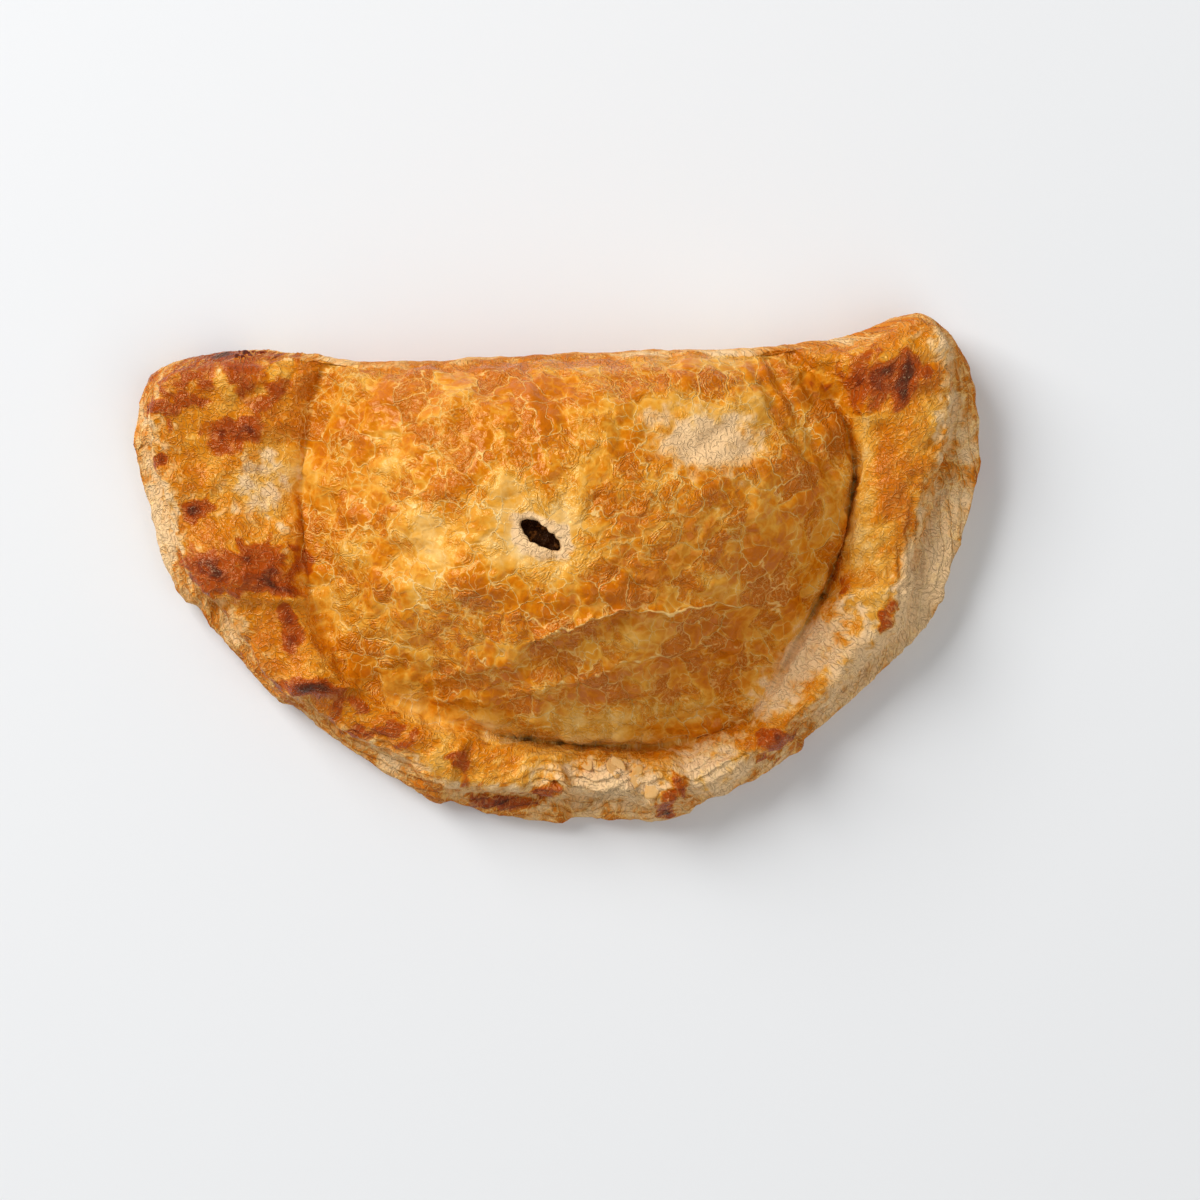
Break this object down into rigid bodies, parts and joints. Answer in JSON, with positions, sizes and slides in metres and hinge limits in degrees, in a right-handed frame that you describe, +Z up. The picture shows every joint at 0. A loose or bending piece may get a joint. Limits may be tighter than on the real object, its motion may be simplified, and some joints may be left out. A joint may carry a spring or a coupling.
{
  "type": "cornish pasty",
  "caption": "Baked half-moon pastry with a filled dome, a rolled and crimped rim, a straight folded edge and a small steam vent.",
  "frame": {"origin": "on the surface it rests on, under the middle of its bounding box", "axes": "+X along the straight folded edge towards the corner with the broad roll, +Y from the crimped front to the folded edge, +Z up"},
  "size_m": [0.1998, 0.1201, 0.0459],
  "materials": {
    "crust": "egg-washed shortcrust pastry baked golden brown, semi-gloss on the glaze and matte on the bare layers",
    "filling": "dark moist cooked meat"
  },
  "bodies": {
    "root": {"pastry": "crust", "filling": "filling"}
  },
  "joints": []
}
